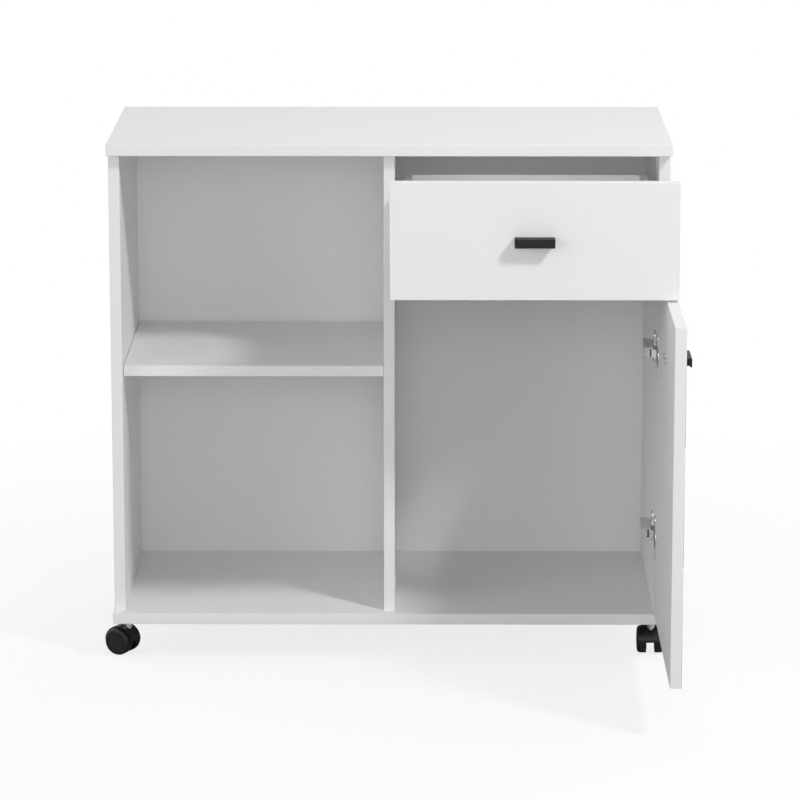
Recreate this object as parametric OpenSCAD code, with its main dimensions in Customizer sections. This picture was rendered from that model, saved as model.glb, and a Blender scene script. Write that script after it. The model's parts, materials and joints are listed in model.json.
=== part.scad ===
// Cabinet on four twin-wheel casters: an open bay with one shelf on the left,
// a drawer above a hinged door on the right.
// Millimetres. X is the width, Y runs from the front to the back, Z is up from the floor.

/* [Boards] */
// Width of the top and bottom boards
cabinet_w = 800; // [700:10:1000]
// Depth of the top and bottom boards
cabinet_d = 375; // [360:5:450]
// Height from the underside of the bottom board to the top surface
cabinet_h = 700; // [660:10:800]
// Thickness of every board of the carcass
board_t = 16; // [15:1:19]
// Distance that the sides stand in from the ends of the top board
side_reveal = 2; // [0:0.5:4]
// Thickness of the back panel
back_t = 3; // [2.5:0.5:4]
// Distance from the rear edges to the back panel
back_inset = 14; // [8:1:20]
// Depth of the groove that holds the back panel
groove_depth = 6; // [4:1:8]
// Height of the shelf's upper face above the underside of the bottom board
shelf_height = 374.5; // [300:0.5:420]
// Distance from the sides' front edges to the shelf's front edge
shelf_setback = 20; // [10:1:40]

/* [Fronts] */
// Thickness of the drawer front and of the door
front_t = 16; // [15:1:19]
// Gap between the back of a front and the edge of a side
front_gap = 2; // [1.5:0.5:3]
// Gap above, between and below the fronts
front_reveal = 3; // [2:0.5:5]
// Height of the drawer front
drawer_front_h = 163; // [150:1:180]
// Distance that the fronts cover of the partition's edge
partition_overlay = 5.5; // [3:0.5:7]
// Width of the two grooves across the door
door_groove_w = 6; // [3:0.5:10]
// Depth of the two grooves across the door
door_groove_depth = 3; // [1:0.5:4]

/* [Drawer] */
// Distance that the drawer stands open
drawer_open = 206.5; // [0:0.5:225]
// Length of the drawer box behind its front
drawer_box_l = 300; // [280:5:310]
// Height of the drawer's sides
drawer_side_h = 100; // [80:5:110]
// Thickness of the drawer's sides and back
drawer_side_t = 12; // [10:1:16]
// Thickness of the drawer's bottom
drawer_bottom_t = 3; // [2.5:0.5:4]
// Distance from the top board down to the drawer box
drawer_top_gap = 42; // [35:1:50]
// Space for a runner between the drawer box and the carcass
runner_gap = 12.5; // [12.5:0.5:14]
// Thickness of the runners' sheet metal
runner_sheet = 1.2; // [1:0.1:1.5]
// Radius of the four runner rollers
runner_roller_r = 8.5; // [7.5:0.5:9]

/* [Handles] */
// Length of a handle
handle_l = 55; // [48:1:120]
// Height of a handle
handle_h = 12.5; // [10:0.5:16]
// Distance that a handle stands out
handle_depth = 19; // [14:1:24]
// Thickness of a handle's front lip
handle_lip = 3; // [2:0.5:5]
// Distance between a handle's two screws
handle_screw_pitch = 32; // [24:1:36]

/* [Hinges] */
// Angle at which the door stands open
door_open = 90; // [0:5:100]
// Distance from a door end to the middle of its hinge
hinge_inset = 115; // [80:1:140]
// Radius of the hinge cup
cup_r = 17.4; // [17.3:0.1:17.5]
// Depth of the hinge cup in the door
cup_depth = 11.5; // [10.5:0.5:12]
// Distance from the door's edge to the cup's centre
cup_edge = 22.5; // [22:0.5:23]
// Distance between the two screws of a cup
cup_screw_pitch = 52; // [48:1:52]
// Length of a hinge arm behind the carcass front
hinge_arm_l = 60; // [56:1:70]
// Width of a hinge arm
hinge_arm_w = 14; // [13:0.5:15]
// Height of a hinge arm above the side
hinge_arm_h = 17; // [16:0.5:18]

/* [Casters] */
// Height from the floor to the underside of the bottom board
caster_h = 58; // [58:1:70]
// Radius of a caster wheel
wheel_r = 20; // [18:0.5:20]
// Width of one wheel
wheel_w = 13.3; // [12:0.1:15]
// Gap between the two wheels of a caster
wheel_gap = 12.8; // [12.8:0.1:16]
// Distance from the swivel axis back to the axle
caster_trail = 10; // [9:0.5:12]
// Distance from a board end to the nearest swivel axis
caster_inset_x = 19; // [19:1:40]
// Distance from the front edge to the front swivel axes
caster_inset_front = 50; // [40:1:80]
// Distance from the rear edge to the rear swivel axes
caster_inset_rear = 45; // [30:1:80]
// Angle at which the front left caster stands turned
front_left_turn = 63.4; // [10:0.2:80]
// Radius of the hood over the wheels
hood_r = 22.3; // [22:0.1:23]
// Width of the hood
hood_w = 26; // [24:0.5:28]
// Radius of the neck above the hood
neck_r = 6.2; // [6:0.1:7]

/* [Hidden] */

$fn = 48;
// Overlap that a cut reaches past a face
eps = 0.5;
// Play between a peg or panel and the hole or groove that it sits in
fit = 0.1;
// Radial play of a pin that turns in a bore
running = 0.05;
// Play between moving faces
play = 0.3;

// Heights
z_under = caster_h;
z_floor = z_under + board_t;
z_top = z_under + cabinet_h;
z_ceiling = z_top - board_t;
shelf_top = z_under + shelf_height;

// Widths, from the middle of the partition
half_w = cabinet_w / 2;
side_out = half_w - side_reveal;
side_in = side_out - board_t;
part_half = board_t / 2;

// Depths, from the plane of the sides' front edges
y_front = -(front_t + front_gap);
y_rear = y_front + cabinet_d;
y_panel = y_rear - back_inset - back_t;

// Fronts
front_left = part_half - partition_overlay;
front_w = side_out - front_left;
drawer_front_top = z_ceiling - front_reveal;
drawer_front_z = drawer_front_top - drawer_front_h;
door_z = z_floor + front_reveal;
door_h = drawer_front_z - front_reveal - door_z;

// Drawer box, closed
box_left = part_half + runner_gap;
box_right = side_in - runner_gap;
bay_mid = (part_half + side_in) / 2;
box_top = z_ceiling - drawer_top_gap;
box_z = box_top - drawer_side_h;
box_front = -front_gap;
box_rear = box_front + drawer_box_l;
box_lip = 10;
box_bottom_z = box_z + box_lip;
box_groove = 5;
box_dowel_r = 3;
box_dowel_l = 25;
box_dowel_in_front = 10;
box_dowel_in_side = 8;
box_dowel_low = 30;
box_dowel_high = 76;
box_dowel_z = [box_z + box_dowel_low, box_z + box_dowel_high];

// Runners, heights counted from the underside of the drawer box
ledge_z = 18;
ledge_reach = 2.4;
roller_w = 6.4;
roller_z = ledge_z - runner_sheet - play - runner_roller_r;
roller_axle_r = 2;
roller_inset = 14;
roller_hub_t = 2;
roller_rim_t = 1.4;
roller_dish = 1;
channel_w = 9.5;
channel_low = roller_z - runner_roller_r - play - runner_sheet;
channel_high = ledge_z + 2 * play + runner_sheet;
channel_front = 2;
channel_roller_y = channel_front + roller_inset;
rail_roller_y = box_rear - roller_inset;
channel_roller_gap = 1.2;
// The drawer opens until its rear rollers meet these tabs on the channels
drawer_travel = 230;
stop_h = 4;
stop_reach = sqrt(pow(runner_roller_r, 2) - pow(runner_roller_r - stop_h, 2));
stop_y = rail_roller_y - drawer_travel - play - stop_reach;
channel_screw_y = [50, 240];
rail_screw_y = [40, 250];
rail_screw_r = 1.5;
rail_screw_l = 8;
rail_head_r = 3;
rail_head_t = 1.4;
rail_setback = 1;
rail_l = drawer_box_l - rail_setback;

// Concealed hinges: the pivot A on the arm and the pivot B in the cup.
// Y is negative in front of the carcass.
hinge_z = [door_z + hinge_inset, door_z + door_h - hinge_inset];
arm_pin_inset = 8;
arm_pin_x = side_in - arm_pin_inset;
arm_pin_y = -6;
cup_pin_depth = 5;
cup_pin_y = -(front_gap + cup_pin_depth);
// Where the open door's hinge edge stands in front of the carcass
open_edge_y = -6;
// The cup pivot's X follows from one link length at both ends of the quarter turn
open_x = side_in - cup_pin_y - front_gap;
sum_y = side_out - open_edge_y + arm_pin_y;
cup_pin_x = (pow(open_x - arm_pin_x, 2) + pow(sum_y, 2) - pow(arm_pin_x, 2)
    - pow(cup_pin_y - arm_pin_y, 2)) / (2 * (sum_y - arm_pin_x));
link_l = norm([cup_pin_x - arm_pin_x, cup_pin_y - arm_pin_y]);
link_closed = atan2(cup_pin_y - arm_pin_y, cup_pin_x - arm_pin_x);
link_square = atan2(cup_pin_x - side_out + open_edge_y - arm_pin_y, open_x - arm_pin_x);
link_turn = (link_square - link_closed) / 90;
link_angle = link_closed + link_turn * door_open;
pin_at_rest = [arm_pin_x + link_l * cos(link_angle), arm_pin_y + link_l * sin(link_angle)];
hinge_pin_r = 1;
link_w = 11.2;
link_t = 1.6;
link_eye_r = 1.65;
link_crank = 4.7;
arm_sheet = 1.2;
nose_reach = 2.4;
nose_slope = 5;
nose_l = 1;
cup_wall = 0.5;
cup_flange_t = 1.2;
cup_rim = 1.2;
cup_mouth_trim = 15.5;
// The cup's screws lie a little further from the door's edge than the cup's centre
cup_screw_back = 5.5;
cup_screw_r = 1.5;
cup_screw_l = 10.5;
cup_head_r = 3.2;
cup_head_t = 0.6;
flange_end_r = 7;
lug_t = 1.6;
lug_reach = 2.4;
cup_pin_half = link_w / 2 + lug_t + 0.2;
cup_x = side_out - cup_edge;
plate_t = 2;
plate_y = [14, 56];
plate_step = 6;
plate_wing_y = 37;
plate_wing_r = 7;
plate_screw_pitch = 32;
depth_screw_y = 40;
depth_screw_r = 1.8;
depth_head_r = 3;
depth_head_t = 1;
depth_slot_r = 2.2;
depth_slot_half = 6;
height_hole_y = 22;
height_hole_r = 2.6;
arm_heel = 4;
arm_heel_y = 12;
link_shoulder = [3.6, 4.4, 5.2];

// Carcass fittings
cam_r = 7.5;
cam_t = 12.5;
cam_reach = 24;
cam_y = [70, 275];
dowel_r = 4;
dowel_l = 30;
dowel_in_board = 10;
dowel_y = [100, 240];
cam_slot_l = 8;
cam_slot_w = 1.2;
cam_slot_t = 1.5;
cam_bolt_r = 3;
cam_bolt_neck_r = 2;
cam_bolt_head_r = 3.2;
cam_bolt_head_l = 3;
cam_channel_r = 3.7;
bolt_in_board = 11;
system_screw_r = 2.5;
system_screw_l = 12;
system_head_r = 3.5;
system_head_t = 1;
shelf_play = 0.6;
peg_r = 2.5;
peg_l = 9;
peg_drop = 15;
peg_y = [37, 250];
peg_z = shelf_top - board_t - peg_drop;
support_reach = 8;
support_w = 12;
support_t = 1.8;
support_tail = 4;
shelf_rear_gap = 2;
handle_screw_r = 2;
handle_head_r = 4;
handle_head_t = 2.4;
handle_thread = 7;
handle_chamfer = 0.8;
handle_recess = 2;

// Casters
plate_size = 38;
caster_plate_t = 2;
plate_screw_at = 13;
caster_screw_r = 1.75;
caster_screw_l = 10.5;
caster_head_r = 3.5;
caster_head_t = 1.6;
kingpin_r = 4;
collar_w = 3;
collar_r = neck_r + collar_w;
collar_t = 3;
caster_axle_r = 2.5;
hood_wall = 1.7;
web_w = wheel_gap - 0.8;
hub_r = 6;
wheel_round = 5;
wheel_rim_t = 2.6;
wheel_disc_t = 4.4;
cap_ring_r = 12.6;
cap_ring_w = 0.9;
cap_ring_t = 0.6;
bore_depth = 10;
neck_z = 2 * wheel_r + play;
kingpin_z = wheel_r + 2;
stem_x = half_w - caster_inset_x;
stem_front = y_front + caster_inset_front;
stem_rear = y_rear - caster_inset_rear;

// The origin is on the floor under the middle of the whole object as it stands
x_low = -(stem_x + (caster_trail + hood_r) * sin(front_left_turn) + hood_w / 2 * cos(front_left_turn));
x_high = side_in + front_t + handle_depth;
y_low = pin_at_rest[1] - (cup_pin_x - front_left);
origin_x = (x_low + x_high) / 2;
origin_y = (y_low + y_rear) / 2;

WHITE = "white";
STEEL = "silver";
BLACK = [0.12, 0.12, 0.12];
ZINC = [0.75, 0.75, 0.78];
BEECH = "burlywood";

// ---- helpers ----

module placed() {
    translate([-origin_x, -origin_y, 0]) children();
}

module box(low, high) {
    translate(low) cube(high - low);
}

// A round bar along X, Y or Z between two places on that axis
module rod_x(x0, x1, y, z, r) {
    translate([x0, y, z]) rotate([0, 90, 0]) cylinder(h = x1 - x0, r = r);
}

module rod_y(y0, y1, x, z, r) {
    translate([x, y0, z]) rotate([-90, 0, 0]) cylinder(h = y1 - y0, r = r);
}

module rod_z(z0, z1, x, y, r) {
    translate([x, y, z0]) cylinder(h = z1 - z0, r = r);
}

// A screw whose shank hangs below z = 0 and whose cross-slotted head stands above it
module screw(shank_r, shank_l, head_r, head_t) {
    slot_l = 1.2 * head_r;
    slot_w = 0.24 * head_r;
    translate([0, 0, -shank_l]) cylinder(h = shank_l, r = shank_r);
    difference() {
        cylinder(h = head_t, r = head_r);
        box([-slot_l / 2, -slot_w / 2, head_t * 0.4], [slot_l / 2, slot_w / 2, head_t + eps]);
        box([-slot_w / 2, -slot_l / 2, head_t * 0.4], [slot_w / 2, slot_l / 2, head_t + eps]);
    }
}

// The child's mirror image in the drawer bay
module bay_mirror() {
    translate([2 * bay_mid, 0, 0]) mirror([1, 0, 0]) children();
}

// ---- carcass ----

// X of the face that holds the cams, and the way from there into the board, for each upright
UPRIGHTS = [[-side_in, -1, -side_in - board_t / 2], [part_half, -1, 0], [side_in, 1, side_in + board_t / 2]];

// Ends of the uprights: the height of the end and the way into the board that it meets
ENDS = [[z_floor, -1], [z_ceiling, 1]];

// Moves a child, drawn with the upright below z = 0 and the board above it, to an end of the uprights
module at_end(end) {
    translate([0, 0, end[0]]) mirror([0, 0, end[1] > 0 ? 0 : 1]) children();
}

module upright_end_holes(mid_x) {
    for (e = ENDS) {
        at_end(e) {
            for (y = dowel_y) {
                rod_z(dowel_in_board - dowel_l - fit, eps, mid_x, y, dowel_r + fit);
            }
            for (y = cam_y) {
                rod_z(-cam_reach, eps, mid_x, y, cam_channel_r);
            }
        }
    }
}

module cam_holes(face_x, way) {
    for (e = ENDS) {
        for (y = cam_y) {
            at_end(e) translate([face_x, y, -cam_reach]) mirror([way > 0 ? 0 : 1, 0, 0])
                rod_x(-eps, cam_t + 2 * fit, 0, 0, cam_r + fit);
        }
    }
}

module board_end_holes(end) {
    for (u = UPRIGHTS) {
        at_end(end) {
            for (y = dowel_y) {
                rod_z(-eps, dowel_in_board + fit, u[2], y, dowel_r + fit);
            }
            for (y = cam_y) {
                rod_z(-eps, bolt_in_board + fit, u[2], y, cam_bolt_r + fit);
            }
        }
    }
}

// The space that the back panel takes, with play, for the grooves
module back_space() {
    box([-side_in - groove_depth - fit, y_panel - fit, z_floor - groove_depth - fit],
        [side_in + groove_depth + fit, y_panel + back_t + fit, z_ceiling + groove_depth + fit]);
}

module top_panel() {
    placed() color(WHITE) difference() {
        box([-half_w, y_front, z_ceiling], [half_w, y_rear, z_top]);
        back_space();
        board_end_holes(ENDS[1]);
    }
}

module bottom_panel() {
    placed() color(WHITE) difference() {
        box([-half_w, y_front, z_under], [half_w, y_rear, z_floor]);
        back_space();
        board_end_holes(ENDS[0]);
        for (c = CASTERS) {
            plate_screw_holes(c);
        }
    }
}

module left_side() {
    placed() color(WHITE) difference() {
        box([-side_out, 0, z_floor], [-side_in, y_rear, z_ceiling]);
        back_space();
        cam_holes(UPRIGHTS[0][0], UPRIGHTS[0][1]);
        upright_end_holes(UPRIGHTS[0][2]);
        for (y = peg_y) {
            rod_x(-side_in - peg_l - fit, -side_in + eps, shelf_setback + y, peg_z, peg_r + fit);
        }
    }
}

module right_side() {
    placed() color(WHITE) difference() {
        box([side_in, 0, z_floor], [side_out, y_rear, z_ceiling]);
        back_space();
        cam_holes(UPRIGHTS[2][0], UPRIGHTS[2][1]);
        upright_end_holes(UPRIGHTS[2][2]);
        bay_mirror() channel_screw_holes();
        hinge_plate_screw_holes();
    }
}

module partition() {
    placed() color(WHITE) difference() {
        box([-part_half, 0, z_floor], [part_half, y_panel, z_ceiling]);
        cam_holes(UPRIGHTS[1][0], UPRIGHTS[1][1]);
        upright_end_holes(UPRIGHTS[1][2]);
        channel_screw_holes();
        for (y = peg_y) {
            rod_x(-part_half - eps, -part_half + peg_l + fit, shelf_setback + y, peg_z, peg_r + fit);
        }
    }
}

module back_panel() {
    placed() color(WHITE) box(
        [-side_in - groove_depth, y_panel, z_floor - groove_depth],
        [side_in + groove_depth, y_panel + back_t, z_ceiling + groove_depth]);
}

module middle_shelf() {
    placed() color(WHITE) box(
        [-side_in + shelf_play, shelf_setback, shelf_top - board_t],
        [-part_half - shelf_play, y_panel - shelf_rear_gap, shelf_top]);
}

// A peg in the side, a plate up the side and a tab under the shelf
module shelf_support() {
    rod_x(-peg_l, support_t, 0, -peg_drop, peg_r);
    box([0, -support_w / 2, -peg_drop - support_tail], [support_t, support_w / 2, 0]);
    box([0, -support_w / 2, -support_t], [support_reach, support_w / 2, 0]);
}

module shelf_pins() {
    placed() color(STEEL) for (y = peg_y) {
        translate([-side_in, shelf_setback + y, shelf_top - board_t]) shelf_support();
        translate([-part_half, shelf_setback + y, shelf_top - board_t]) mirror([1, 0, 0]) shelf_support();
    }
}

// Drawn with its slotted face at z = 0 and its mouth towards -X
module cam_lock() {
    difference() {
        cylinder(h = cam_t, r = cam_r);
        translate([0, 0, board_t / 2]) rotate([0, -90, 0]) cylinder(h = cam_r + eps, r = cam_channel_r);
        translate([0, 0, board_t / 2]) sphere(r = cam_channel_r);
        box([-cam_slot_l / 2, -cam_slot_w / 2, -eps], [cam_slot_l / 2, cam_slot_w / 2, cam_slot_t]);
        box([-cam_slot_w / 2, -cam_slot_l / 2, -eps], [cam_slot_w / 2, cam_slot_l / 2, cam_slot_t]);
    }
}

module cam_locks() {
    placed() color(ZINC) for (u = UPRIGHTS) {
        for (e = ENDS) {
            for (y = cam_y) {
                at_end(e) translate([u[0], y, -cam_reach]) mirror([u[1] > 0 ? 0 : 1, 0, 0])
                    rotate([0, 90, 0]) cam_lock();
            }
        }
    }
}

// A bolt with its thread in the board, a neck, and a head that the cam lock grips
module cam_bolt() {
    rod_z(0, bolt_in_board, 0, 0, cam_bolt_r);
    rod_z(cam_bolt_head_l - cam_reach, 0, 0, 0, cam_bolt_neck_r);
    rod_z(-cam_reach, cam_bolt_head_l - cam_reach, 0, 0, cam_bolt_head_r);
}

module cam_bolts() {
    placed() color(STEEL) for (u = UPRIGHTS) {
        for (e = ENDS) {
            for (y = cam_y) {
                at_end(e) translate([u[2], y, 0]) cam_bolt();
            }
        }
    }
}

module dowels() {
    placed() color(BEECH) for (u = UPRIGHTS) {
        for (e = ENDS) {
            for (y = dowel_y) {
                at_end(e) rod_z(dowel_in_board - dowel_l + fit, dowel_in_board - fit, u[2], y, dowel_r);
            }
        }
    }
}

// A screw through sheet metal into a board along +X from the board's face at x = 0
module system_screw(under) {
    translate([-under, 0, 0]) rotate([0, -90, 0])
        screw(system_screw_r, system_screw_l + under, system_head_r, system_head_t);
}

module channel_screws() {
    for (y = channel_screw_y) {
        translate([part_half, y, box_z + roller_z]) mirror([1, 0, 0]) system_screw(runner_sheet);
    }
}

module hinge_plate_screws() {
    for (z = hinge_z) {
        for (s = [-1, 1]) {
            translate([side_in, plate_wing_y, z + s * plate_screw_pitch / 2]) system_screw(plate_t);
        }
    }
}

module system_screws() {
    placed() color(STEEL) {
        channel_screws();
        bay_mirror() channel_screws();
        hinge_plate_screws();
    }
}

module channel_screw_holes() {
    for (y = channel_screw_y) {
        rod_x(part_half - system_screw_l - fit, part_half + eps, y, box_z + roller_z, system_screw_r + fit);
    }
}

module hinge_plate_screw_holes() {
    for (z = hinge_z) {
        for (s = [-1, 1]) {
            rod_x(side_in - eps, side_in + system_screw_l + fit, plate_wing_y,
                z + s * plate_screw_pitch / 2, system_screw_r + fit);
        }
    }
}

// ---- drawer runners ----

// Carcass member, a C-shaped channel with a roller at its front, on the partition
module runner_channel() {
    difference() {
        translate([part_half, channel_front, box_z]) {
            box([0, 0, channel_low], [runner_sheet, drawer_box_l, channel_high]);
            box([0, 0, channel_low], [channel_w, drawer_box_l, channel_low + runner_sheet]);
            box([0, 0, channel_high - runner_sheet], [channel_w, drawer_box_l, channel_high]);
            translate([0, stop_y - channel_front, channel_low])
                box([0, -runner_sheet, 0], [channel_w, 0, runner_sheet + play + stop_h]);
        }
        for (y = channel_screw_y) {
            rod_x(part_half - eps, part_half + runner_sheet + eps, y, box_z + roller_z, system_screw_r + fit);
        }
    }
    rod_x(part_half + runner_sheet, part_half + channel_w, channel_roller_y, box_z + roller_z, roller_axle_r);
}

module runner_channel_left() {
    placed() color(WHITE) runner_channel();
}

module runner_channel_right() {
    placed() color(WHITE) bay_mirror() runner_channel();
}

// Drawer member, which holds the drawer's lower edge and has a roller at its rear
module runner_rail() {
    difference() {
        translate([box_left, box_front + rail_setback, box_z]) {
            box([-runner_sheet, 0, -runner_sheet], [0, rail_l, ledge_z]);
            box([-runner_sheet, 0, -runner_sheet], [drawer_side_t - rail_setback, rail_l, 0]);
            box([ledge_reach - runner_gap, 0, ledge_z - runner_sheet], [0, rail_l, ledge_z]);
        }
        for (y = rail_screw_y) {
            rod_z(box_z - runner_sheet - eps, box_z + eps,
                box_left + drawer_side_t / 2, y, rail_screw_r + fit);
        }
    }
    rod_x(part_half + ledge_reach, box_left - runner_sheet, rail_roller_y, box_z + roller_z, roller_axle_r);
}

module drawer_at_rest() {
    placed() translate([0, -drawer_open, 0]) children();
}

module runner_rail_left() {
    drawer_at_rest() color(WHITE) runner_rail();
}

module runner_rail_right() {
    drawer_at_rest() color(WHITE) bay_mirror() runner_rail();
}

// A nylon roller with a dished face on each side
module roller(x0) {
    bore_r = roller_axle_r + running;
    dish_r = roller_axle_r + roller_hub_t;
    dish_w = runner_roller_r - roller_rim_t - dish_r;
    translate([x0, 0, 0]) rotate([0, 90, 0]) rotate_extrude() difference() {
        translate([bore_r, 0]) square([runner_roller_r - bore_r, roller_w]);
        translate([dish_r, -eps]) square([dish_w, roller_dish + eps]);
        translate([dish_r, roller_w - roller_dish]) square([dish_w, roller_dish + eps]);
    }
}

module channel_roller() {
    translate([0, channel_roller_y, box_z + roller_z]) roller(part_half + runner_sheet + channel_roller_gap);
}

module rail_roller() {
    translate([0, rail_roller_y, box_z + roller_z]) roller(part_half + ledge_reach + play);
}

module channel_roller_left() {
    placed() color(WHITE) channel_roller();
}

module channel_roller_right() {
    placed() color(WHITE) bay_mirror() channel_roller();
}

module rail_roller_left() {
    drawer_at_rest() color(WHITE) rail_roller();
}

module rail_roller_right() {
    drawer_at_rest() color(WHITE) bay_mirror() rail_roller();
}

// ---- drawer ----

// The space of the drawer's bottom panel, grown by a margin for its grooves
module bottom_space(margin) {
    box([box_left + drawer_side_t - box_groove - margin, box_front - box_groove - margin,
            box_bottom_z - margin],
        [box_right - drawer_side_t + box_groove + margin, box_rear + margin,
            box_bottom_z + drawer_bottom_t + margin]);
}

// The child at the middle of each lower and upper joint of a drawer side
module box_joints(y) {
    for (z = box_dowel_z) {
        translate([box_left + drawer_side_t / 2, y, z]) children();
    }
}

// Dowels of the left side, grown by a margin for their holes
module side_dowels(margin) {
    box_joints(box_front) rod_y(-box_dowel_in_front - margin, box_dowel_l - box_dowel_in_front + margin,
        0, 0, box_dowel_r + margin);
    box_joints(box_rear - drawer_side_t / 2) rod_x(drawer_side_t / 2 - box_dowel_in_side - margin,
        drawer_side_t / 2 + box_dowel_l - box_dowel_in_side + margin, 0, 0, box_dowel_r + margin);
}

module drawer_dowels() {
    drawer_at_rest() color(BEECH) {
        side_dowels(0);
        bay_mirror() side_dowels(0);
    }
}

drawer_handle_at = [front_left + front_w / 2, y_front, drawer_front_z + drawer_front_h / 2];

module drawer_front() {
    drawer_at_rest() color(WHITE) difference() {
        box([front_left, y_front, drawer_front_z], [side_out, -front_gap, drawer_front_top]);
        bottom_space(fit);
        side_dowels(fit);
        bay_mirror() side_dowels(fit);
        translate(drawer_handle_at) handle_screw_holes();
    }
}

module drawer_side() {
    difference() {
        box([box_left, box_front, box_z], [box_left + drawer_side_t, box_rear, box_top]);
        bottom_space(fit);
        side_dowels(fit);
        for (y = rail_screw_y) {
            rod_z(box_z - eps, box_z + rail_screw_l + fit,
                box_left + drawer_side_t / 2, y, rail_screw_r + fit);
        }
    }
}

module drawer_left_side() {
    drawer_at_rest() color(WHITE) drawer_side();
}

module drawer_right_side() {
    drawer_at_rest() color(WHITE) bay_mirror() drawer_side();
}

module drawer_back() {
    drawer_at_rest() color(WHITE) difference() {
        box([box_left + drawer_side_t, box_rear - drawer_side_t, box_bottom_z + drawer_bottom_t],
            [box_right - drawer_side_t, box_rear, box_top]);
        side_dowels(fit);
        bay_mirror() side_dowels(fit);
    }
}

module drawer_bottom() {
    drawer_at_rest() color(WHITE) bottom_space(0);
}

module rail_screw() {
    translate([box_left + drawer_side_t / 2, 0, box_z - runner_sheet]) mirror([0, 0, 1])
        screw(rail_screw_r, rail_screw_l + runner_sheet, rail_head_r, rail_head_t);
}

module rail_screws() {
    drawer_at_rest() color(STEEL) for (y = rail_screw_y) {
        translate([0, y, 0]) rail_screw();
        translate([0, y, 0]) bay_mirror() rail_screw();
    }
}

// ---- handles, drawn from the middle of the front's outer face ----

// A block with a shallow finger recess under it, behind a lip
module handle_bar() {
    low = -handle_h / 2;
    high = handle_h / 2;
    difference() {
        translate([-handle_l / 2, 0, 0]) rotate([90, 0, 90]) linear_extrude(height = handle_l) polygon([
            [0, low + handle_recess],
            [0, high],
            [-handle_depth + handle_chamfer, high],
            [-handle_depth, high - handle_chamfer],
            [-handle_depth, low + handle_chamfer],
            [-handle_depth + handle_chamfer, low],
            [-handle_depth + handle_lip, low],
            [-handle_depth + handle_lip, low + handle_recess],
        ]);
        for (s = [-1, 1]) {
            rod_y(-handle_thread - fit, eps, s * handle_screw_pitch / 2, 0, handle_screw_r + fit);
        }
    }
}

module handle_screw_holes() {
    for (s = [-1, 1]) {
        rod_y(-eps, front_t + eps, s * handle_screw_pitch / 2, 0, handle_screw_r + fit);
    }
}

module handle_screws() {
    for (s = [-1, 1]) {
        translate([s * handle_screw_pitch / 2, front_t, 0]) rotate([-90, 0, 0])
            screw(handle_screw_r, front_t + handle_thread, handle_head_r, handle_head_t);
    }
}

module drawer_handle() {
    drawer_at_rest() color(BLACK) translate(drawer_handle_at) handle_bar();
}

module drawer_handle_screws() {
    drawer_at_rest() color(STEEL) translate(drawer_handle_at) handle_screws();
}

// ---- door, drawn closed and swung about the cup pivot ----

module door_at_rest() {
    placed() translate([pin_at_rest[0], pin_at_rest[1], 0]) rotate([0, 0, door_open])
        translate([-cup_pin_x, -cup_pin_y, 0]) children();
}

door_handle_at = [front_left + front_w / 2, y_front, door_z + door_h * 5 / 6];

module door_panel() {
    door_at_rest() color(WHITE) difference() {
        box([front_left, y_front, door_z], [side_out, -front_gap, door_z + door_h]);
        for (third = [1, 2]) {
            translate([front_left - eps, y_front, door_z + door_h * third / 3]) rotate([90, 0, 90])
                linear_extrude(height = front_w + 2 * eps) polygon([
                    [-eps, -door_groove_w / 2 - eps],
                    [0, -door_groove_w / 2],
                    [door_groove_depth, 0],
                    [0, door_groove_w / 2],
                    [-eps, door_groove_w / 2 + eps],
                ]);
        }
        for (z = hinge_z) {
            rod_y(-front_gap - cup_depth - eps, -front_gap + eps, cup_x, z, cup_r + fit);
            for (s = [-1, 1]) {
                rod_y(-front_gap - cup_screw_l - eps, -front_gap + eps, cup_x - cup_screw_back,
                    z + s * cup_screw_pitch / 2, cup_screw_r + fit);
            }
        }
        translate(door_handle_at) handle_screw_holes();
    }
}

module door_handle() {
    door_at_rest() color(BLACK) translate(door_handle_at) handle_bar();
}

module door_handle_screws() {
    door_at_rest() color(STEEL) translate(door_handle_at) handle_screws();
}

// ---- concealed hinges ----

// A pressed cup with a flange, and two lugs inside that carry the cup pin
module hinge_cup() {
    face = -front_gap;
    floor_y = face - cup_depth;
    difference() {
        union() {
            rod_y(floor_y, face, 0, 0, cup_r);
            intersection() {
                rod_y(face, face + cup_flange_t, 0, 0, cup_r + cup_rim);
                box([-cup_r - cup_rim - eps, face - eps, -cup_r - cup_rim - eps],
                    [cup_mouth_trim, 0, cup_r + cup_rim + eps]);
            }
            box([-cup_screw_back - flange_end_r, face, -cup_screw_pitch / 2],
                [-cup_screw_back + flange_end_r, face + cup_flange_t, cup_screw_pitch / 2]);
            for (s = [-1, 1]) {
                rod_y(face, face + cup_flange_t, -cup_screw_back, s * cup_screw_pitch / 2, flange_end_r);
            }
        }
        rod_y(floor_y + cup_wall, eps, 0, 0, cup_r - cup_wall);
        for (s = [-1, 1]) {
            rod_y(face - eps, face + cup_flange_t + eps, -cup_screw_back, s * cup_screw_pitch / 2,
                cup_screw_r + fit);
        }
    }
    for (s = [-1, 1]) {
        difference() {
            intersection() {
                rod_y(floor_y + cup_wall / 2, face, 0, 0, cup_r - cup_wall / 2);
                translate([cup_pin_x - cup_x, 0, s * (link_w / 2 + lug_t / 2 + play + fit)])
                    box([-lug_reach, floor_y, -lug_t / 2], [cup_r, face - lug_reach, lug_t / 2]);
            }
            rod_z(-link_w, link_w, cup_pin_x - cup_x, cup_pin_y, hinge_pin_r + fit / 2);
        }
    }
}

module hinge_cups() {
    door_at_rest() color(STEEL) for (z = hinge_z) {
        translate([cup_x, 0, z]) hinge_cup();
    }
}

module hinge_cup_pins() {
    door_at_rest() color(STEEL) for (z = hinge_z) {
        rod_z(z - cup_pin_half, z + cup_pin_half, cup_pin_x, cup_pin_y, hinge_pin_r);
    }
}

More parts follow.
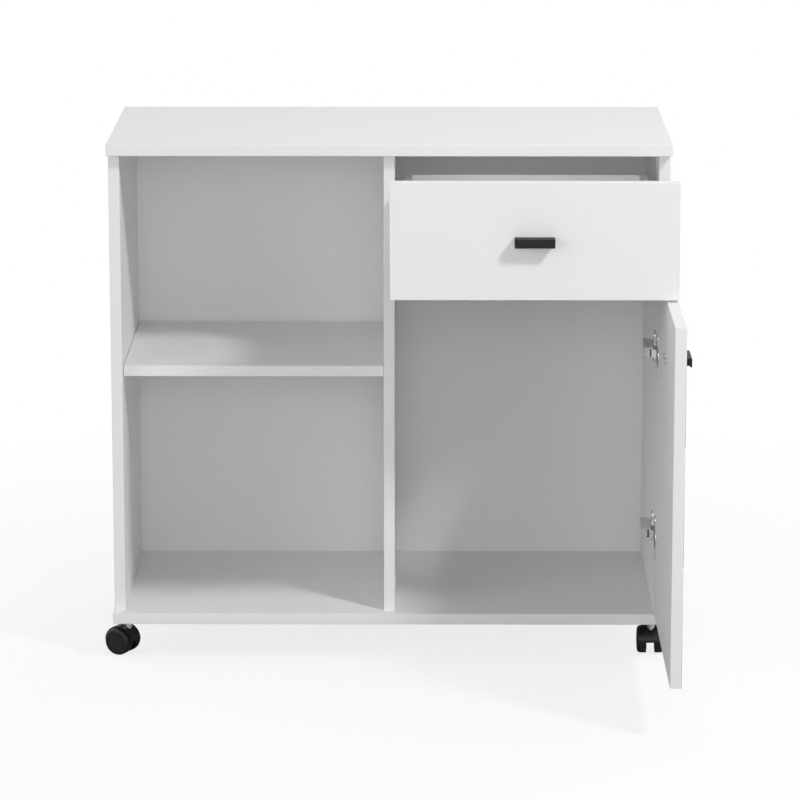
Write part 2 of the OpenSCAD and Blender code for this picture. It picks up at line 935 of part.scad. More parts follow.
module hinge_cup_screws() {
    door_at_rest() color(STEEL) for (z = hinge_z) {
        for (s = [-1, 1]) {
            translate([cup_x - cup_screw_back, cup_flange_t - front_gap, z + s * cup_screw_pitch / 2])
                rotate([-90, 0, 0]) screw(cup_screw_r, cup_screw_l + cup_flange_t, cup_head_r, cup_head_t);
        }
    }
}

// The cranked link from the arm pin to the cup pin, which bends round the rim of the cup
module hinge_link() {
    inner = link_t / 2 - link_crank;
    outer = -link_t / 2 - link_crank;
    cheek = link_eye_r * 0.7;
    linear_extrude(height = link_w, center = true) difference() {
        union() {
            circle(r = link_eye_r);
            translate([link_l, 0]) circle(r = link_eye_r);
            polygon([
                [-cheek, -cheek],
                [link_shoulder[0], outer],
                [link_l - link_shoulder[1], outer],
                [link_l + cheek, -cheek],
                [link_l - cheek, cheek],
                [link_l - link_shoulder[2], inner],
                [link_shoulder[1], inner],
                [cheek, cheek],
            ]);
        }
        circle(r = hinge_pin_r + running);
        translate([link_l, 0]) circle(r = hinge_pin_r + running);
    }
}

module hinge_links() {
    placed() color(STEEL) for (z = hinge_z) {
        translate([arm_pin_x, arm_pin_y, z]) rotate([0, 0, link_angle]) hinge_link();
    }
}

// A channel that clips over the mounting plate and carries the arm pin in its nose
module hinge_arm() {
    back = -hinge_arm_h;
    pin = arm_pin_x - side_in;
    tip = arm_pin_y - nose_reach;
    difference() {
        union() {
            // The top of the channel, which slopes down over the nose
            linear_extrude(height = hinge_arm_w, center = true) polygon([
                [back, tip + nose_slope],
                [back + nose_slope, tip],
                [back + nose_slope + arm_sheet, tip],
                [back + arm_sheet, tip + nose_slope],
                [back + arm_sheet, hinge_arm_l],
                [back, hinge_arm_l],
            ]);
            for (s = [-1, 1]) {
                translate([0, 0, s * (hinge_arm_w - arm_sheet) / 2])
                    linear_extrude(height = arm_sheet, center = true) polygon([
                        [back, tip + nose_slope],
                        [back + nose_slope, tip],
                        [pin + nose_reach, tip],
                        [pin + nose_reach, arm_pin_y + nose_reach],
                        [-arm_heel, arm_heel_y],
                        [-arm_heel, hinge_arm_l],
                        [back, hinge_arm_l],
                    ]);
            }
        }
        rod_z(-hinge_arm_w, hinge_arm_w, pin, arm_pin_y, hinge_pin_r + fit / 2);
        // Slot for the depth screw, and the hole for the side screw in front of it
        box([back - eps, depth_screw_y - depth_slot_half, -depth_slot_r],
            [back + arm_sheet + eps, depth_screw_y + depth_slot_half, depth_slot_r]);
        for (end = [-1, 1]) {
            rod_x(back - eps, back + arm_sheet + eps, depth_screw_y + end * depth_slot_half, 0, depth_slot_r);
        }
        rod_x(back - eps, back + arm_sheet + eps, height_hole_y, 0, height_hole_r);
    }
}

// The part of the channel in front of the side's edge, which enters the cup as the door shuts
module nose_space() {
    box([-hinge_arm_h - eps, arm_pin_y - nose_reach - eps, -hinge_arm_w], [eps, nose_l, hinge_arm_w]);
}

module hinge_noses() {
    placed() color(STEEL) for (z = hinge_z) {
        translate([side_in, 0, z]) intersection() {
            hinge_arm();
            nose_space();
        }
    }
}

module hinge_arms() {
    placed() color(STEEL) for (z = hinge_z) {
        translate([side_in, 0, z]) difference() {
            hinge_arm();
            nose_space();
        }
    }
}

module hinge_arm_pins() {
    placed() color(STEEL) for (z = hinge_z) {
        rod_z(z - hinge_arm_w / 2, z + hinge_arm_w / 2, arm_pin_x, arm_pin_y, hinge_pin_r);
    }
}

// Cross-shaped mounting plate with the block that the arm clips over
module hinge_plate() {
    block_w = hinge_arm_w - 2 * arm_sheet - 2 * fit;
    block_top = -hinge_arm_h + arm_sheet + fit;
    difference() {
        union() {
            box([-plate_t, plate_y[0], -block_w / 2], [0, plate_y[1], block_w / 2]);
            box([-plate_t, plate_wing_y - plate_wing_r, -plate_screw_pitch / 2],
                [0, plate_wing_y + plate_wing_r, plate_screw_pitch / 2]);
            for (s = [-1, 1]) {
                rod_x(-plate_t, 0, plate_wing_y, s * plate_screw_pitch / 2, plate_wing_r);
            }
            box([block_top, plate_y[0] + plate_step, -block_w / 2], [-plate_t, plate_y[1], block_w / 2]);
        }
        for (s = [-1, 1]) {
            rod_x(-plate_t - eps, eps, plate_wing_y, s * plate_screw_pitch / 2, system_screw_r + fit);
        }
    }
    // The depth screw stands out of the block, through the arm's slot
    translate([block_top - arm_sheet - fit, depth_screw_y, 0]) rotate([0, -90, 0])
        screw(depth_screw_r, arm_sheet + fit + eps, depth_head_r, depth_head_t);
}

module hinge_plates() {
    placed() color(STEEL) for (z = hinge_z) {
        translate([side_in, 0, z]) hinge_plate();
    }
}

// ---- casters: swivel axis at the origin of each, wheels trailing towards the back at turn 0 ----

// Place of the swivel axis and the angle at which the caster stands
CASTERS = [
    [-stem_x, stem_front, front_left_turn],
    [stem_x, stem_front, 0],
    [-stem_x, stem_rear, 0],
    [stem_x, stem_rear, 0],
];

module plate_screw_places() {
    for (sx = [-1, 1]) {
        for (sy = [-1, 1]) {
            translate([sx * plate_screw_at, sy * plate_screw_at, 0]) children();
        }
    }
}

module plate_screw_holes(c) {
    translate([c[0], c[1], 0]) plate_screw_places()
        rod_z(z_under - eps, z_under + caster_screw_l + eps, 0, 0, caster_screw_r + fit);
}

// Plates with a collar, pressed on the casters' stems
module caster_plates() {
    placed() color(STEEL) for (c = CASTERS) {
        translate([c[0], c[1], z_under]) difference() {
            union() {
                box([-plate_size / 2, -plate_size / 2, -caster_plate_t], [plate_size / 2, plate_size / 2, 0]);
                rod_z(-caster_plate_t - collar_t, -caster_plate_t, 0, 0, collar_r);
            }
            translate([0, 0, -z_under]) plate_screw_places()
                rod_z(z_under - caster_plate_t - eps, z_under + eps, 0, 0, caster_screw_r + fit);
            rod_z(-caster_plate_t - collar_t - eps, eps, 0, 0, neck_r + fit / 2);
        }
    }
}

// Each stem is a neck under its plate and a kingpin that the hood turns on
module caster_stems() {
    placed() color(STEEL) for (c = CASTERS) {
        rod_z(neck_z, z_under, c[0], c[1], neck_r);
        rod_z(kingpin_z, neck_z, c[0], c[1], kingpin_r);
    }
}

module caster_screws() {
    placed() color(STEEL) for (c = CASTERS) {
        translate([c[0], c[1], z_under - caster_plate_t]) plate_screw_places() mirror([0, 0, 1])
            screw(caster_screw_r, caster_screw_l + caster_plate_t, caster_head_r, caster_head_t);
    }
}

// Moves a child drawn about the axle, at turn 0, to its place
module caster_at_rest(c) {
    placed() translate([c[0], c[1], wheel_r]) rotate([0, 0, c[2]]) translate([0, caster_trail, 0]) children();
}

// Half of a drum over the wheels, open below, with a web between them that holds the axle
module hood_shape() {
    difference() {
        union() {
            intersection() {
                rod_x(-hood_w / 2, hood_w / 2, 0, 0, hood_r);
                box([-hood_w, -hood_r - eps, 0], [hood_w, hood_r + eps, hood_r + eps]);
            }
            rod_x(-web_w / 2, web_w / 2, 0, 0, hub_r);
        }
        for (s = [0, 1]) {
            mirror([s, 0, 0]) rod_x(web_w / 2, hood_w / 2 + eps, 0, 0, hood_r - hood_wall);
        }
        rod_x(-web_w, web_w, 0, 0, caster_axle_r + fit / 2);
        rod_z(kingpin_z - wheel_r - play, hood_r, 0, -caster_trail, kingpin_r + running);
        rod_z(neck_z - wheel_r - play, hood_r + eps, 0, -caster_trail, neck_r + 2 * play);
    }
}

module caster_hood(c) {
    caster_at_rest(c) color(BLACK) hood_shape();
}

module caster_axle(c) {
    axle_half = wheel_gap / 2 + bore_depth - play;
    caster_at_rest(c) color(STEEL) rod_x(-axle_half, axle_half, 0, 0, caster_axle_r);
}

// Wheel drawn from its inner face: rim, hub with a blind bore and a rounded outer cap
module wheel_shape() {
    rotate([0, 90, 0]) rotate_extrude() difference() {
        union() {
            square([wheel_r - wheel_round, wheel_w]);
            square([wheel_r, wheel_w - wheel_round]);
            intersection() {
                translate([wheel_r - wheel_round, wheel_w - wheel_round]) circle(r = wheel_round);
                square([wheel_r, wheel_w]);
            }
        }
        translate([-eps, -eps]) square([caster_axle_r + running + eps, bore_depth + eps]);
        translate([hub_r, -eps]) square([wheel_r - wheel_rim_t - hub_r, wheel_w - wheel_disc_t + eps]);
        translate([cap_ring_r, wheel_w - cap_ring_t]) square([cap_ring_w, cap_ring_t + eps]);
    }
}

module caster_wheel(c, way) {
    caster_at_rest(c) color(BLACK) mirror([way > 0 ? 0 : 1, 0, 0])
        translate([wheel_gap / 2, 0, 0]) wheel_shape();
}

module front_left_caster_hood() { caster_hood(CASTERS[0]); }
module front_left_caster_axle() { caster_axle(CASTERS[0]); }
module front_left_wheel_a() { caster_wheel(CASTERS[0], -1); }
module front_left_wheel_b() { caster_wheel(CASTERS[0], 1); }
module front_right_caster_hood() { caster_hood(CASTERS[1]); }
module front_right_caster_axle() { caster_axle(CASTERS[1]); }
module front_right_wheel_a() { caster_wheel(CASTERS[1], -1); }
module front_right_wheel_b() { caster_wheel(CASTERS[1], 1); }
module rear_left_caster_hood() { caster_hood(CASTERS[2]); }
module rear_left_caster_axle() { caster_axle(CASTERS[2]); }
module rear_left_wheel_a() { caster_wheel(CASTERS[2], -1); }
module rear_left_wheel_b() { caster_wheel(CASTERS[2], 1); }
module rear_right_caster_hood() { caster_hood(CASTERS[3]); }
module rear_right_caster_axle() { caster_axle(CASTERS[3]); }
module rear_right_wheel_a() { caster_wheel(CASTERS[3], -1); }
module rear_right_wheel_b() { caster_wheel(CASTERS[3], 1); }

top_panel();
bottom_panel();
left_side();
right_side();
partition();
back_panel();
middle_shelf();
shelf_pins();
cam_locks();
cam_bolts();
dowels();
system_screws();
runner_channel_left();
runner_channel_right();
hinge_plates();
hinge_noses();
hinge_arms();
hinge_arm_pins();
caster_plates();
caster_stems();
caster_screws();
drawer_front();
drawer_left_side();
drawer_right_side();
drawer_back();
drawer_bottom();
runner_rail_left();
runner_rail_right();
drawer_handle();
drawer_handle_screws();
drawer_dowels();
rail_screws();
channel_roller_left();
channel_roller_right();
rail_roller_left();
rail_roller_right();
door_panel();
door_handle();
door_handle_screws();
hinge_cups();
hinge_cup_pins();
hinge_cup_screws();
hinge_links();
front_left_caster_hood();
front_left_caster_axle();
front_left_wheel_a();
front_left_wheel_b();
front_right_caster_hood();
front_right_caster_axle();
front_right_wheel_a();
front_right_wheel_b();
rear_left_caster_hood();
rear_left_caster_axle();
rear_left_wheel_a();
rear_left_wheel_b();
rear_right_caster_hood();
rear_right_caster_axle();
rear_right_wheel_a();
rear_right_wheel_b();
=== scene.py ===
import json
import math

import bmesh
import bpy
from mathutils import Matrix, Vector

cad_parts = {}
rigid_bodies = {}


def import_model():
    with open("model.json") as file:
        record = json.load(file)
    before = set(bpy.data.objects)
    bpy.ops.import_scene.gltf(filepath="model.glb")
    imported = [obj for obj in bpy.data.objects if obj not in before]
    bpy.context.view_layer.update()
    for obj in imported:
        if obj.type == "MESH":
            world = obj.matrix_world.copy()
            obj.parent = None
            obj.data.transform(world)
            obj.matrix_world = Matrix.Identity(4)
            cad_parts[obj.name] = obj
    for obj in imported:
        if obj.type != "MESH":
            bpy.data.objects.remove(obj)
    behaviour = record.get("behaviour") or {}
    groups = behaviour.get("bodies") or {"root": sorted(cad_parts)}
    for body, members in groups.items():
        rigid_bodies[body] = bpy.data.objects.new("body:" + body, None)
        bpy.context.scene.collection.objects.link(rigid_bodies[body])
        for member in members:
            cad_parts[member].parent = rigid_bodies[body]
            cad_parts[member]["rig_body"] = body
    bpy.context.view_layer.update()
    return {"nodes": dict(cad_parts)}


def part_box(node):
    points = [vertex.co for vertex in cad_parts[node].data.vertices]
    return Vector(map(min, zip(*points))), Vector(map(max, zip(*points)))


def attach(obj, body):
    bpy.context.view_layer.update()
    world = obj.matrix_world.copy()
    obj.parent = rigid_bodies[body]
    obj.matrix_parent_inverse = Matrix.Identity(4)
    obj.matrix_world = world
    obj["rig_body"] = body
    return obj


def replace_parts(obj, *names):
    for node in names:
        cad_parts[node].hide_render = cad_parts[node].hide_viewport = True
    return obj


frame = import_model()


# ---- places that the pieces share ----

left_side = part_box("left_side")
right_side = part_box("right_side")
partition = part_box("partition")
bottom_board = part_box("bottom_panel")
top_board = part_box("top_panel")
side_front = left_side[0].y
floor_top = bottom_board[1].z
ceiling = top_board[0].z


# ---- node groups ----


def start_group(name, inputs, outputs):
    """An empty shader group with its named sockets."""
    group = bpy.data.node_groups.new(name, "ShaderNodeTree")
    for label, kind, value in inputs:
        socket = group.interface.new_socket(label, in_out="INPUT", socket_type=kind)
        if value is not None:
            socket.default_value = value
    for label, kind in outputs:
        group.interface.new_socket(label, in_out="OUTPUT", socket_type=kind)
    return group, group.nodes.new("NodeGroupInput"), group.nodes.new("NodeGroupOutput")


def noise(nodes, links, place, scale, detail=2.0, roughness=0.5):
    """A noise texture that reads a place; scale is a number or a socket."""
    texture = nodes.new("ShaderNodeTexNoise")
    texture.inputs["Detail"].default_value = detail
    texture.inputs["Roughness"].default_value = roughness
    if isinstance(scale, (int, float)):
        texture.inputs["Scale"].default_value = scale
    else:
        links.new(scale, texture.inputs["Scale"])
    links.new(place, texture.inputs["Vector"])
    return texture.outputs["Fac"]


def spread(nodes, links, value, low, high, new_low=0.0, new_high=1.0):
    """The value mapped from low..high to a new span, clamped."""
    step = nodes.new("ShaderNodeMapRange")
    links.new(value, step.inputs["Value"])
    for label, number in (
        ("From Min", low), ("From Max", high), ("To Min", new_low), ("To Max", new_high)
    ):
        if isinstance(number, (int, float)):
            step.inputs[label].default_value = number
        else:
            links.new(number, step.inputs[label])
    return step.outputs["Result"]


def mixed(nodes, links, factor, first, second):
    """Two colours mixed by a factor."""
    mix = nodes.new("ShaderNodeMix")
    mix.data_type = "RGBA"
    links.new(factor, mix.inputs["Factor"])
    for label, colour in (("A", first), ("B", second)):
        socket = next(s for s in mix.inputs if s.name == label and s.type == "RGBA")
        if isinstance(colour, (tuple, list)):
            socket.default_value = colour
        else:
            links.new(colour, socket)
    return next(s for s in mix.outputs if s.type == "RGBA")


def make_surface_group():
    """Slow tint drift, fine surface relief and the gloss that goes with it."""
    group, start, end = start_group(
        "surface_texture",
        [
            ("Place", "NodeSocketVector", None),
            ("Colour", "NodeSocketColor", (0.8, 0.8, 0.8, 1)),
            ("Second Colour", "NodeSocketColor", (0.7, 0.7, 0.7, 1)),
            ("Cloud Scale", "NodeSocketFloat", 3.0),
            ("Relief Scale", "NodeSocketFloat", 900.0),
            ("Gloss Low", "NodeSocketFloat", 0.35),
            ("Gloss High", "NodeSocketFloat", 0.45),
        ],
        [
            ("Colour", "NodeSocketColor"),
            ("Roughness", "NodeSocketFloat"),
            ("Height", "NodeSocketFloat"),
        ],
    )
    nodes, links = group.nodes, group.links
    place = start.outputs["Place"]
    cloud = noise(nodes, links, place, start.outputs["Cloud Scale"], 3.0)
    relief = noise(nodes, links, place, start.outputs["Relief Scale"], 2.0, 0.6)
    tone = spread(nodes, links, cloud, 0.3, 0.7)
    colour = mixed(nodes, links, tone, start.outputs["Colour"], start.outputs["Second Colour"])
    gloss = spread(
        nodes, links, relief, 0.3, 0.7, start.outputs["Gloss Low"], start.outputs["Gloss High"]
    )
    links.new(colour, end.inputs["Colour"])
    links.new(gloss, end.inputs["Roughness"])
    links.new(relief, end.inputs["Height"])
    return group


surface_group = make_surface_group()


# ---- materials ----


def make_finish(name, colour, second, gloss, cloud, relief, depth, metallic=0.0, specular=0.5):
    """A finish made of the surface texture.

    colour and second are the two tones that drift into each other, gloss is the least and the
    most roughness, cloud and relief are the scales of the drift and of the fine relief, and
    depth is the relief's height in metres.
    """
    finish = bpy.data.materials.new(name)
    finish.use_nodes = True
    nodes, links = finish.node_tree.nodes, finish.node_tree.links
    shader = nodes["Principled BSDF"]
    place = nodes.new("ShaderNodeTexCoord").outputs["Object"]
    texture = nodes.new("ShaderNodeGroup")
    texture.node_tree = surface_group
    texture.inputs["Colour"].default_value = (*colour, 1)
    texture.inputs["Second Colour"].default_value = (*second, 1)
    texture.inputs["Cloud Scale"].default_value = cloud
    texture.inputs["Relief Scale"].default_value = relief
    texture.inputs["Gloss Low"].default_value = gloss[0]
    texture.inputs["Gloss High"].default_value = gloss[1]
    links.new(place, texture.inputs["Place"])
    links.new(texture.outputs["Colour"], shader.inputs["Base Color"])
    links.new(texture.outputs["Roughness"], shader.inputs["Roughness"])
    bump = nodes.new("ShaderNodeBump")
    bump.inputs["Distance"].default_value = depth
    bump.inputs["Strength"].default_value = 1.0
    links.new(texture.outputs["Height"], bump.inputs["Height"])
    links.new(bump.outputs["Normal"], shader.inputs["Normal"])
    shader.inputs["Metallic"].default_value = metallic
    shader.inputs["Specular IOR Level"].default_value = specular
    return finish


def grey(value):
    """A neutral colour."""
    return (value, value, value)


melamine = make_finish(
    "white_melamine", grey(0.885), grey(0.87), (0.46, 0.56), 2.2, 1100.0, 0.00003,
    specular=0.18
)
edge_band = make_finish(
    "white_edge_band", grey(0.875), grey(0.86), (0.4, 0.48), 3.0, 700.0, 0.00002,
    specular=0.2
)
chipboard = make_finish(
    "chipboard_core", (0.50, 0.37, 0.22), (0.28, 0.19, 0.10), (0.85, 0.95), 420.0, 900.0, 0.0002
)
drawer_foil = make_finish(
    "drawer_foil", grey(0.87), grey(0.85), (0.45, 0.55), 2.5, 1300.0, 0.00003,
    specular=0.3
)
fibreboard = make_finish(
    "white_fibreboard", grey(0.87), grey(0.85), (0.48, 0.58), 2.0, 600.0, 0.00005,
    specular=0.3
)
raw_fibreboard = make_finish(
    "raw_fibreboard", (0.30, 0.19, 0.11), (0.23, 0.14, 0.08), (0.75, 0.9), 240.0, 1500.0, 0.00012
)
runner_white = make_finish(
    "white_runner_paint", grey(0.76), grey(0.73), (0.38, 0.5), 9.0, 1400.0, 0.00004
)
roller_nylon = make_finish(
    "roller_nylon", grey(0.72), grey(0.68), (0.35, 0.45), 60.0, 2200.0, 0.00002
)
cap_plastic = make_finish(
    "white_cap_plastic", grey(0.79), grey(0.77), (0.3, 0.36), 30.0, 1900.0, 0.00001
)
handle_black = make_finish(
    "black_handle_paint", grey(0.017), grey(0.013), (0.42, 0.55), 25.0, 1800.0, 0.00004,
    specular=0.18
)
zinc_steel = make_finish(
    "zinc_plated_steel", (0.62, 0.64, 0.66), (0.52, 0.53, 0.54), (0.28, 0.42), 35.0, 900.0,
    0.00002, metallic=1.0
)
die_cast_zinc = make_finish(
    "die_cast_zinc", (0.50, 0.51, 0.52), (0.42, 0.43, 0.44), (0.42, 0.55), 60.0, 1400.0,
    0.00005, metallic=1.0
)
dull_steel = make_finish(
    "dull_screw_steel", (0.54, 0.54, 0.55), (0.44, 0.44, 0.45), (0.45, 0.6), 60.0, 1100.0,
    0.00004, metallic=1.0
)
nickel_steel = make_finish(
    "nickel_plated_steel", (0.72, 0.71, 0.70), (0.64, 0.63, 0.62), (0.24, 0.36), 45.0, 900.0,
    0.000015, metallic=1.0
)
chrome_steel = make_finish(
    "bright_plated_steel", (0.78, 0.79, 0.80), (0.72, 0.73, 0.74), (0.12, 0.22), 45.0, 900.0,
    0.00001, metallic=1.0
)
black_nylon = make_finish(
    "black_nylon", grey(0.016), grey(0.011), (0.3, 0.44), 40.0, 2000.0, 0.00003,
    specular=0.28
)
beech = make_finish(
    "beech_dowel", (0.55, 0.38, 0.22), (0.44, 0.29, 0.16), (0.6, 0.75), 90.0, 900.0, 0.0001
)


# ---- pieces ----

# How far the edges of each kind of piece are rounded, in metres
BOARD_EDGE = 0.0008
FOIL_EDGE = 0.0006
HANDLE_EDGE = 0.0006
# Faces deeper than this inside a board belong to its bores and grooves
BORE_DEPTH = 0.0012


def close_piece(bm, name, body, finishes):
    """Turns a bmesh into a piece at the origin that rides on a body."""
    mesh = bpy.data.meshes.new(name)
    bm.to_mesh(mesh)
    bm.free()
    for finish in finishes:
        mesh.materials.append(finish)
    mesh.shade_smooth()
    mesh.set_sharp_from_angle(angle=math.radians(50))
    piece = bpy.data.objects.new(name, mesh)
    bpy.context.scene.collection.objects.link(piece)
    piece.modifiers.new("even_faces", "WEIGHTED_NORMAL").keep_sharp = True
    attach(piece, body)
    return piece


def solid_copy(node):
    """A bmesh of a CAD node with its triangles joined into whole faces."""
    bm = bmesh.new()
    bm.from_mesh(frame["nodes"][node].data)
    bmesh.ops.remove_doubles(bm, verts=bm.verts, dist=0.00001)
    bmesh.ops.dissolve_limit(
        bm, angle_limit=math.radians(0.6), verts=bm.verts, edges=bm.edges,
        use_dissolve_boundaries=False
    )
    return bm


def round_edges(bm, radius, longest=0.02, turn=60, segments=3):
    """Rounds the long sharp edges that point outwards."""
    edges = []
    for edge in bm.edges:
        if len(edge.link_faces) != 2 or edge.calc_length() < longest:
            continue
        if edge.is_convex and edge.calc_face_angle(0) > math.radians(turn):
            edges.append(edge)
    bmesh.ops.bevel(
        bm, geom=edges, offset=radius, offset_type="OFFSET", affect="EDGES", segments=segments,
        profile=0.5, material=-1, clamp_overlap=True
    )


def body_of_node(node):
    """The body that a CAD node rides on."""
    return frame["nodes"][node]["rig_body"]


def soft_board(name, node, radius, finishes):
    """A board with rounded edges: broad faces, edge bands and raw bores get their own finish."""
    low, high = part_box(node)
    size = high - low
    thin = min(range(3), key=lambda i: size[i])
    bm = solid_copy(node)
    round_edges(bm, radius)
    for face in bm.faces:
        centre = face.calc_center_bounds()
        inside = all(
            low[i] + BORE_DEPTH < centre[i] < high[i] - BORE_DEPTH for i in range(3)
        )
        if inside and abs(face.normal[thin]) < 0.5:
            face.material_index = 2
        elif abs(face.normal[thin]) > 0.5:
            face.material_index = 0
        else:
            face.material_index = 1
    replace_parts(close_piece(bm, name, body_of_node(node), finishes), node)


board_finishes = [melamine, edge_band, chipboard]
for name, node in (
    ("top_board", "top_panel"),
    ("bottom_board", "bottom_panel"),
    ("left_side_board", "left_side"),
    ("right_side_board", "right_side"),
    ("partition_board", "partition"),
    ("shelf_board", "middle_shelf"),
    ("drawer_front_board", "drawer_front"),
    ("door_board", "door_panel"),
):
    soft_board(name, node, BOARD_EDGE, board_finishes)

foil_finishes = [drawer_foil, drawer_foil, chipboard]
for name, node in (
    ("drawer_left_board", "drawer_left_side"),
    ("drawer_right_board", "drawer_right_side"),
    ("drawer_back_board", "drawer_back"),
):
    soft_board(name, node, FOIL_EDGE, foil_finishes)


def two_faced_sheet(name, node, axis, sign):
    """A thin sheet whose good face is white and whose other faces are raw."""
    bm = solid_copy(node)
    for face in bm.faces:
        face.material_index = 0 if face.normal[axis] * sign > 0.5 else 1
    piece = close_piece(bm, name, body_of_node(node), [fibreboard, raw_fibreboard])
    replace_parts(piece, node)


two_faced_sheet("back_sheet", "back_panel", 1, -1)
two_faced_sheet("drawer_base_sheet", "drawer_bottom", 2, 1)

for name, node in (("drawer_pull", "drawer_handle"), ("door_pull", "door_handle")):
    bm = solid_copy(node)
    round_edges(bm, HANDLE_EDGE, longest=0.002, turn=30)
    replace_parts(close_piece(bm, name, body_of_node(node), [handle_black]), node)


def cam_caps():
    """White plastic covers pressed over the cam locks."""
    radius, taper, thick, rim = 0.0088, 0.0005, 0.0009, 0.0002
    depths, from_board = (0.070, 0.275), 0.024
    faces = ((left_side[1].x, 1), (partition[1].x, 1), (right_side[0].x, -1))
    bm = bmesh.new()
    for face_x, way in faces:
        for depth in depths:
            for height in (floor_top + from_board, ceiling - from_board):
                disc = bmesh.ops.create_cone(
                    bm, cap_ends=True, segments=40, radius1=radius, radius2=radius - taper,
                    depth=thick
                )["verts"]
                bmesh.ops.rotate(
                    bm, verts=disc, cent=(0, 0, 0),
                    matrix=Matrix.Rotation(way * math.pi / 2, 3, "Y")
                )
                bmesh.ops.translate(
                    bm, verts=disc, vec=(face_x + way * thick / 2, side_front + depth, height)
                )
    rims = [
        e for e in bm.edges
        if e.is_convex and e.calc_face_angle(0) > math.radians(30) and len(e.link_faces) == 2
    ]
    bmesh.ops.bevel(
        bm, geom=rims, offset=rim, offset_type="OFFSET", affect="EDGES", segments=2,
        profile=0.5, material=-1
    )
    close_piece(bm, "cam_caps", "carcass", [cap_plastic])


cam_caps()

slot_finishes = {
    "shelf_pins": zinc_steel,
    "cam_locks": die_cast_zinc,
    "cam_bolts": zinc_steel,
    "dowels": beech,
    "drawer_dowels": beech,
    "system_screws": zinc_steel,
    "hinge_plates": nickel_steel,
    "hinge_noses": nickel_steel,
    "hinge_arms": nickel_steel,
    "hinge_arm_pins": nickel_steel,
    "hinge_links": nickel_steel,
    "hinge_cups": nickel_steel,
    "hinge_cup_pins": nickel_steel,
    "hinge_cup_screws": zinc_steel,
    "caster_screws": zinc_steel,
    "rail_screws": zinc_steel,
    "drawer_handle_screws": dull_steel,
    "door_handle_screws": dull_steel,
}
for node, shape in frame["nodes"].items():
    if "runner" in node:
        finish = runner_white
    elif "roller" in node:
        finish = roller_nylon
    elif "caster_plate" in node or "caster_stem" in node or "axle" in node:
        finish = chrome_steel
    elif "hood" in node or "wheel" in node:
        finish = black_nylon
    else:
        finish = slot_finishes.get(node, melamine)
    shape.data.materials.clear()
    shape.data.materials.append(finish)


# ---- stage, light and camera ----

# How much of its light the floor gives back to the object
FLOOR_BOUNCE = 0.5
# The floor's own white as the camera sees it, at the object and from FADE_END metres on
FLOOR_GLOW_NEAR = 0.80
FLOOR_GLOW_FAR = 1.0
FADE_START = 0.5
FADE_END = 1.6
FLOOR_RADIUS = 2.6
# Strength of the even light from all round
WORLD_LIGHT = 0.35
# Distance of the key light from the point that it is aimed at
KEY_DISTANCE = 3.6


def make_stage():
    """A pale floor that keeps the shadow and fades into the white background."""
    bm = bmesh.new()
    bmesh.ops.create_circle(bm, cap_ends=True, segments=96, radius=FLOOR_RADIUS)
    mesh = bpy.data.meshes.new("studio_floor")
    bm.to_mesh(mesh)
    bm.free()
    floor = bpy.data.objects.new("studio_floor", mesh)
    bpy.context.scene.collection.objects.link(floor)
    paint = bpy.data.materials.new("studio_floor_paint")
    paint.use_nodes = True
    nodes, links = paint.node_tree.nodes, paint.node_tree.links
    shader = nodes["Principled BSDF"]
    shader.inputs["Roughness"].default_value = 0.9
    shader.inputs["Specular IOR Level"].default_value = 0.0
    seen = nodes.new("ShaderNodeLightPath").outputs["Is Camera Ray"]
    paint_colour = mixed(nodes, links, seen, (*grey(FLOOR_BOUNCE), 1), (*grey(1.0), 1))
    links.new(paint_colour, shader.inputs["Base Color"])
    away = nodes.new("ShaderNodeVectorMath")
    away.operation = "LENGTH"
    links.new(nodes.new("ShaderNodeTexCoord").outputs["Object"], away.inputs[0])
    fade = spread(
        nodes, links, away.outputs["Value"], FADE_START, FADE_END, FLOOR_GLOW_NEAR, FLOOR_GLOW_FAR
    )
    share = nodes.new("ShaderNodeMath")
    share.operation = "MULTIPLY"
    links.new(seen, share.inputs[0])
    links.new(fade, share.inputs[1])
    glow = nodes.new("ShaderNodeEmission")
    glow.inputs["Strength"].default_value = 1.0
    both = nodes.new("ShaderNodeMixShader")
    links.new(share.outputs["Value"], both.inputs["Fac"])
    links.new(shader.outputs["BSDF"], both.inputs[1])
    links.new(glow.outputs["Emission"], both.inputs[2])
    links.new(both.outputs["Shader"], nodes["Material Output"].inputs["Surface"])
    mesh.materials.append(paint)


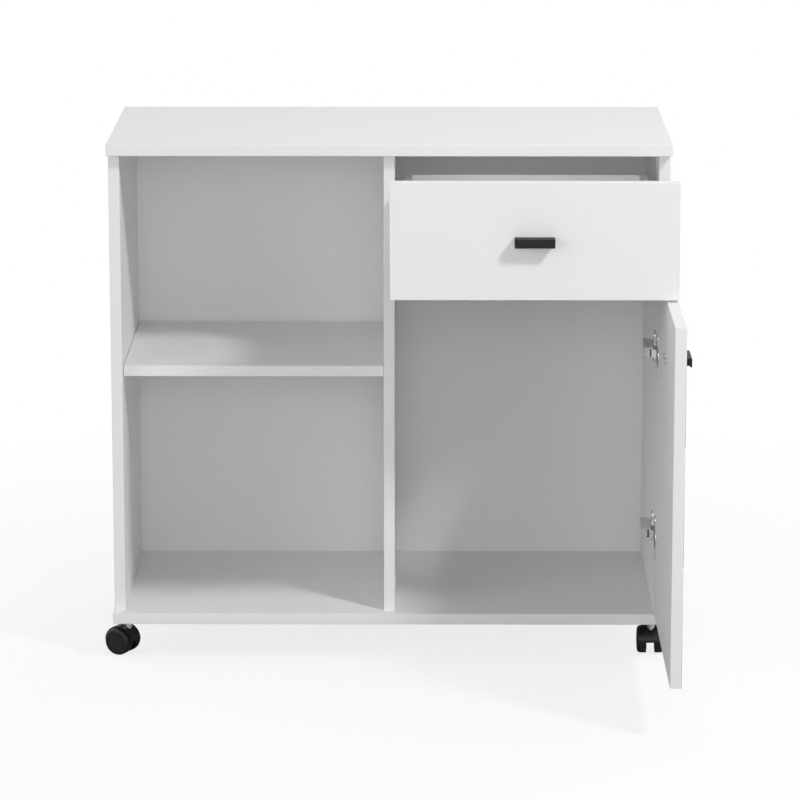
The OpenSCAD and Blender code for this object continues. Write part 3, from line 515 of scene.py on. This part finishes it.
def make_world():
    """Even studio light, with a white background behind the object."""
    world = bpy.data.worlds.new("studio")
    bpy.context.scene.world = world
    world.use_nodes = True
    nodes, links = world.node_tree.nodes, world.node_tree.links
    background = nodes["Background"]
    background.inputs["Color"].default_value = (1, 1, 1, 1)
    path = nodes.new("ShaderNodeLightPath")
    most = nodes.new("ShaderNodeMath")
    most.operation = "MAXIMUM"
    links.new(path.outputs["Is Camera Ray"], most.inputs[0])
    links.new(path.outputs["Is Glossy Ray"], most.inputs[1])
    last = nodes.new("ShaderNodeMath")
    last.operation = "MAXIMUM"
    links.new(most.outputs["Value"], last.inputs[0])
    links.new(path.outputs["Is Transmission Ray"], last.inputs[1])
    links.new(
        spread(nodes, links, last.outputs["Value"], 0.0, 1.0, WORLD_LIGHT, 1.0),
        background.inputs["Strength"],
    )


def make_lamp(name, place, aim, size, power):
    """A round area lamp at a place, turned to its aim; size in metres, power in watts."""
    lamp = bpy.data.lights.new(name, "AREA")
    lamp.shape = "DISK"
    lamp.size = size
    lamp.energy = power
    holder = bpy.data.objects.new(name, lamp)
    bpy.context.scene.collection.objects.link(holder)
    holder.location = place
    holder.rotation_mode = "QUATERNION"
    holder.rotation_quaternion = (Vector(aim) - Vector(place)).to_track_quat("-Z", "Y")


make_stage()
make_world()
aim = Vector((0.0, -0.02, 0.42))
key_way = Vector((0.543, -0.495, 0.678))
make_lamp("key_light", aim + key_way * KEY_DISTANCE, aim, 0.45, 52)
make_lamp("front_fill", (0.0, -4.8, 1.45), aim, 1.6, 36)
make_lamp("left_fill", (-3.6, -3.0, 1.6), aim, 3.0, 45)
make_lamp("top_fill", (0.0, 0.3, 3.6), aim, 2.4, 10)
make_lamp("back_left_fill", (-3.2, 3.2, 2.4), aim, 2.0, 30)
make_lamp("back_right_fill", (3.2, 3.2, 2.4), aim, 2.0, 30)

camera_data = bpy.data.cameras.new("camera")
camera_data.sensor_width = 36
camera_data.lens = 178.2
camera = bpy.data.objects.new("camera", camera_data)
bpy.context.scene.collection.objects.link(camera)
camera_aim = Vector((0.0147, 0.022, 0.3866))
camera.location = (0.0468, -5.516, 1.6175)
camera.rotation_mode = "QUATERNION"
camera.rotation_quaternion = (camera_aim - camera.location).to_track_quat("-Z", "Y")
bpy.context.scene.camera = camera

bpy.context.scene.view_settings.view_transform = "Standard"
